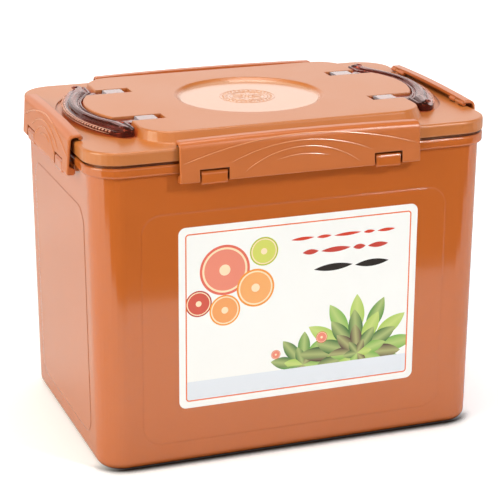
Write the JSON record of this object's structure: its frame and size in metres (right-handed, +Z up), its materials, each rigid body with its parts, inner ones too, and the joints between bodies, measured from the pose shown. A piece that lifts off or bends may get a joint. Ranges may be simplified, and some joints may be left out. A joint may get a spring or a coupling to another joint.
{
  "type": "kimchi container",
  "caption": "Large kimchi container: deep draughted tub with a rim collar, lid with snap latches and folding smoky handles, and a press lid with a vent inside.",
  "frame": {"origin": "centre of the tub's underside, on the surface that it stands on", "axes": "+X to the right and +Y to the back as seen from the label side, +Z up"},
  "size_m": [0.354, 0.25, 0.2756],
  "materials": {
    "tub_plastic": "glossy moulded polypropylene, clay brown",
    "lid_plastic": "satin moulded polypropylene, clay brown",
    "latch_plastic": "fine matt moulded polypropylene, clay brown",
    "smoky_clear_plastic": "glossy translucent moulded acrylic-like plastic, reddish brown",
    "label_paper": "satin printed film label",
    "silicone": "matt translucent silicone",
    "press_lid_plastic": "satin moulded polypropylene"
  },
  "bodies": {
    "tub": {"tub": "tub_plastic", "label": "label_paper"},
    "lid": {"lid": "lid_plastic", "lid_gasket": "silicone"},
    "front_latch": {"front_latch": "latch_plastic"},
    "back_latch": {"back_latch": "latch_plastic"},
    "right_latch": {"right_latch": "latch_plastic"},
    "left_latch": {"left_latch": "latch_plastic"},
    "left_handle": {"left_handle": "smoky_clear_plastic"},
    "right_handle": {"right_handle": "smoky_clear_plastic"},
    "inner_lid": {"inner_lid": "press_lid_plastic", "inner_seal": "silicone"},
    "inner_handle": {"inner_handle": "press_lid_plastic"},
    "vent_plug": {"vent_plug": "silicone"}
  },
  "joints": [
    {"name": "lid_lift", "type": "slide", "parent": "tub", "child": "lid", "axis": [0, 0, 1], "range_m": [0, 0.14]},
    {"name": "front_latch_hinge", "type": "hinge", "parent": "lid", "child": "front_latch", "pos_m": [0, -0.113, 0.2693], "axis": [-1, 0, 0], "range_deg": [-3.5, 110]},
    {"name": "back_latch_hinge", "type": "hinge", "parent": "lid", "child": "back_latch", "pos_m": [0, 0.113, 0.2693], "axis": [1, 0, 0], "range_deg": [-3.5, 110]},
    {"name": "right_latch_hinge", "type": "hinge", "parent": "lid", "child": "right_latch", "pos_m": [0.165, 0, 0.2693], "axis": [0, -1, 0], "range_deg": [-3.5, 110]},
    {"name": "left_latch_hinge", "type": "hinge", "parent": "lid", "child": "left_latch", "pos_m": [-0.165, 0, 0.2693], "axis": [0, 1, 0], "range_deg": [-3.5, 110]},
    {"name": "left_handle_hinge", "type": "hinge", "parent": "lid", "child": "left_handle", "pos_m": [-0.097, 0, 0.2724], "axis": [0, 1, 0], "range_deg": [0, 95]},
    {"name": "right_handle_hinge", "type": "hinge", "parent": "lid", "child": "right_handle", "pos_m": [0.097, 0, 0.2724], "axis": [0, -1, 0], "range_deg": [0, 95]},
    {"name": "inner_lid_slide", "type": "slide", "parent": "tub", "child": "inner_lid", "axis": [0, 0, 1], "range_m": [0, 0.2]},
    {"name": "inner_handle_hinge", "type": "hinge", "parent": "inner_lid", "child": "inner_handle", "pos_m": [0, 0.02, 0.0099], "axis": [-1, 0, 0], "range_deg": [0, 90]},
    {"name": "vent_plug_pull", "type": "slide", "parent": "inner_lid", "child": "vent_plug", "axis": [0, 0, 1], "range_m": [0, 0.006]}
  ]
}
